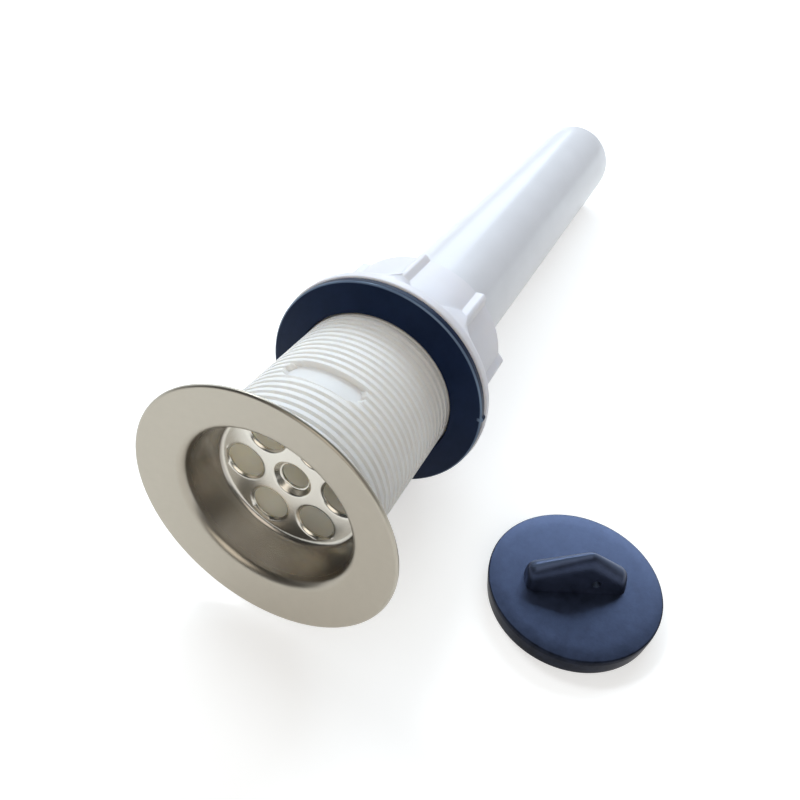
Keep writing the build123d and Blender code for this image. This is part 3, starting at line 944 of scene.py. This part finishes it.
class SINKWASTE_OT_stage(bpy.types.Operator):
    """Add the floor, lamps, world and camera"""

    bl_idname = "sinkwaste.stage"
    bl_label = "Stage"

    CAMERA_PLACE = (-0.225514, -0.038489, 0.165202)
    CAMERA_RIGHT = (0.428291, -0.902154, 0.051816)
    CAMERA_UP = (0.578406, 0.317747, 0.751321)
    CAMERA_BACK = (-0.694272, -0.291813, 0.657899)
    AIM = (-0.07, 0.0, 0.03)
    LAMPS = {
        "window": ((0.82, 0.95, 0.62), (2.0, 0.75), (0.76, 0.88, 1.0)),
        "skylight": ((0.88, 0.06, 0.86), (0.9, 0.36), (0.72, 0.86, 1.0)),
        "overhead": ((0.22, 0.58, 1.02), (0.34, 0.2), (0.86, 0.93, 1.0)),
        "fill": ((-0.9, -0.3, 0.7), (0.8, 0.8), (1.0, 0.93, 0.84)),
    }
    SKY_COLOUR = (0.96, 0.98, 1.0, 1.0)
    WHITE = (1.0, 1.0, 1.0, 1.0)
    CEILING_LEVELS = (0.6, 0.12)
    CEILING_HEIGHTS = (0.45, 0.75)
    ROOM_FRONT = 0.1
    ROOM_FADE = (-0.5, 0.3)
    FLOOR_DROP = 0.0002
    FLOOR_HALF = 6.0
    FLOOR_COLOURS = ((0.70, 0.69, 0.67), (0.72, 0.71, 0.69))
    FLOOR_GLOW = 0.52
    FLOOR_FADE = (0.5, 1.6)

    def lamp(self, name, watts):
        """One of the oblong area lamps, at its place and facing the object."""
        place, (width, height), tint = self.LAMPS[name]
        data = bpy.data.lights.new(name, "AREA")
        data.shape = "RECTANGLE"
        data.size, data.size_y, data.energy, data.color = width, height, watts, tint
        lamp = bpy.data.objects.new(name, data)
        back = np.array(place) - np.array(self.AIM)
        back /= np.linalg.norm(back)
        right = np.cross((0.0, 0.0, 1.0), back)
        right /= np.linalg.norm(right)
        columns = np.stack([right, np.cross(back, right), back], axis=1)
        lamp.matrix_world = Matrix.Translation(place) @ Matrix(columns.tolist()).to_4x4()
        bpy.context.scene.collection.objects.link(lamp)

    def world(self, context, ambient_side, ambient_top):
        """Soft light, stronger from above; the camera sees white, and gloss and glass a room pale behind."""
        world = bpy.data.worlds.new("studio")
        context.scene.world = world
        world.use_nodes = True
        world.node_tree.nodes.clear()
        tree = Nodes(world.node_tree)
        path = tree.add("ShaderNodeLightPath").outputs
        shiny = tree.join("MAXIMUM", path["Is Glossy Ray"], path["Is Transmission Ray"])
        seen = tree.join("MAXIMUM", path["Is Camera Ray"], shiny)
        direction = tree.add("ShaderNodeSeparateXYZ")
        tree.link(tree.add("ShaderNodeTexCoord").outputs["Generated"], direction.inputs[0])
        height, behind = direction.outputs["Z"], direction.outputs["X"]
        light, backdrop = tree.add("ShaderNodeBackground"), tree.add("ShaderNodeBackground")
        light.inputs["Color"].default_value = self.SKY_COLOUR
        tree.link(tree.spread(height, ambient_side, ambient_top), light.inputs["Strength"])
        ceiling = tree.spread(height, *self.CEILING_LEVELS, *self.CEILING_HEIGHTS)
        walls = tree.spread(behind, self.ROOM_FRONT, 1.0, *self.ROOM_FADE)
        room = tree.join("MULTIPLY", ceiling, walls)
        backdrop.inputs["Color"].default_value = self.WHITE
        tree.link(tree.join("MAXIMUM", room, path["Is Camera Ray"]), backdrop.inputs["Strength"])
        mix, output = tree.add("ShaderNodeMixShader"), tree.add("ShaderNodeOutputWorld")
        tree.link(seen, mix.inputs["Fac"])
        tree.link(light.outputs[0], mix.inputs[1])
        tree.link(backdrop.outputs[0], mix.inputs[2])
        tree.link(mix.outputs[0], output.inputs["Surface"])

    def floor(self):
        """A wide pale floor that keeps the object's shade and turns white for the camera away from it."""
        half, height = self.FLOOR_HALF, -self.FLOOR_DROP
        mesh = bpy.data.meshes.new("floor")
        corners = [(x * half, y * half, height) for x, y in ((-1, -1), (1, -1), (1, 1), (-1, 1))]
        mesh.from_pydata(corners, [], [(0, 1, 2, 3)])
        finish = Finish("white_floor")
        finish.to("Base Color", finish.mix(finish.mottle(8.0), *self.FLOOR_COLOURS))
        path = finish.add("ShaderNodeLightPath").outputs
        away = finish.add("ShaderNodeVectorMath", operation="LENGTH")
        finish.link(finish.coordinates, away.inputs[0])
        fade = finish.spread(away.outputs["Value"], self.FLOOR_GLOW, 1.0, *self.FLOOR_FADE)
        clear = finish.join("MULTIPLY", path["Is Camera Ray"], fade)
        mirrored = finish.spread(path["Is Glossy Ray"], 0.0, self.FLOOR_GLOW)
        finish.to("Emission Strength", finish.join("MAXIMUM", clear, mirrored))
        finish.set(Roughness=0.9, Emission_Color=self.WHITE)
        mesh.materials.append(finish.material)
        floor = bpy.data.objects.new("floor", mesh)
        bpy.context.scene.collection.objects.link(floor)

    def camera(self, context, lens):
        """The camera at the photograph's place and angle."""
        data = bpy.data.cameras.new("camera")
        data.lens, data.sensor_width, data.sensor_fit = lens, 36.0, "HORIZONTAL"
        data.clip_start = 0.01
        camera = bpy.data.objects.new("camera", data)
        columns = np.stack([self.CAMERA_RIGHT, self.CAMERA_UP, self.CAMERA_BACK], axis=1)
        camera.matrix_world = Matrix.Translation(self.CAMERA_PLACE) @ Matrix(columns.tolist()).to_4x4()
        context.scene.collection.objects.link(camera)
        context.scene.camera = camera

    def execute(self, context):
        settings = context.scene.waste_stage
        self.floor()
        self.world(context, settings.ambient_side, settings.ambient_top)
        self.lamp("window", settings.window_power)
        self.lamp("skylight", settings.skylight_power)
        self.lamp("overhead", settings.overhead_power)
        self.lamp("fill", settings.fill_power)
        self.camera(context, settings.lens)
        context.scene.view_settings.view_transform = "Standard"
        return {"FINISHED"}


OPERATORS = (
    SINKWASTE_OT_strainer_cup,
    SINKWASTE_OT_threaded_body,
    SINKWASTE_OT_tail_pipe,
    SINKWASTE_OT_sealing_washer,
    SINKWASTE_OT_back_nut,
    SINKWASTE_OT_plug,
    SINKWASTE_OT_stage,
)


class SINKWASTE_PT_panel(bpy.types.Panel):
    """Sink waste pieces"""

    bl_idname = "SINKWASTE_PT_panel"
    bl_label = "Sink Waste"
    bl_space_type = "VIEW_3D"
    bl_region_type = "UI"
    bl_category = "Sink Waste"

    def draw(self, context):
        for operator in OPERATORS:
            self.layout.operator(operator.bl_idname)


CLASSES = (WasteSizes, WasteColours, StageSettings, *OPERATORS, SINKWASTE_PT_panel)


def register():
    for cls in CLASSES:
        bpy.utils.register_class(cls)
    bpy.types.Scene.waste_sizes = bpy.props.PointerProperty(type=WasteSizes)
    bpy.types.Scene.waste_colours = bpy.props.PointerProperty(type=WasteColours)
    bpy.types.Scene.waste_stage = bpy.props.PointerProperty(type=StageSettings)


def unregister():
    del bpy.types.Scene.waste_stage
    del bpy.types.Scene.waste_colours
    del bpy.types.Scene.waste_sizes
    for cls in reversed(CLASSES):
        bpy.utils.unregister_class(cls)


def main():
    register()
    bpy.ops.sinkwaste.strainer_cup()
    bpy.ops.sinkwaste.threaded_body()
    bpy.ops.sinkwaste.tail_pipe()
    bpy.ops.sinkwaste.sealing_washer()
    bpy.ops.sinkwaste.back_nut()
    bpy.ops.sinkwaste.plug()
    bpy.ops.sinkwaste.stage()


if __name__ == "__main__":
    main()
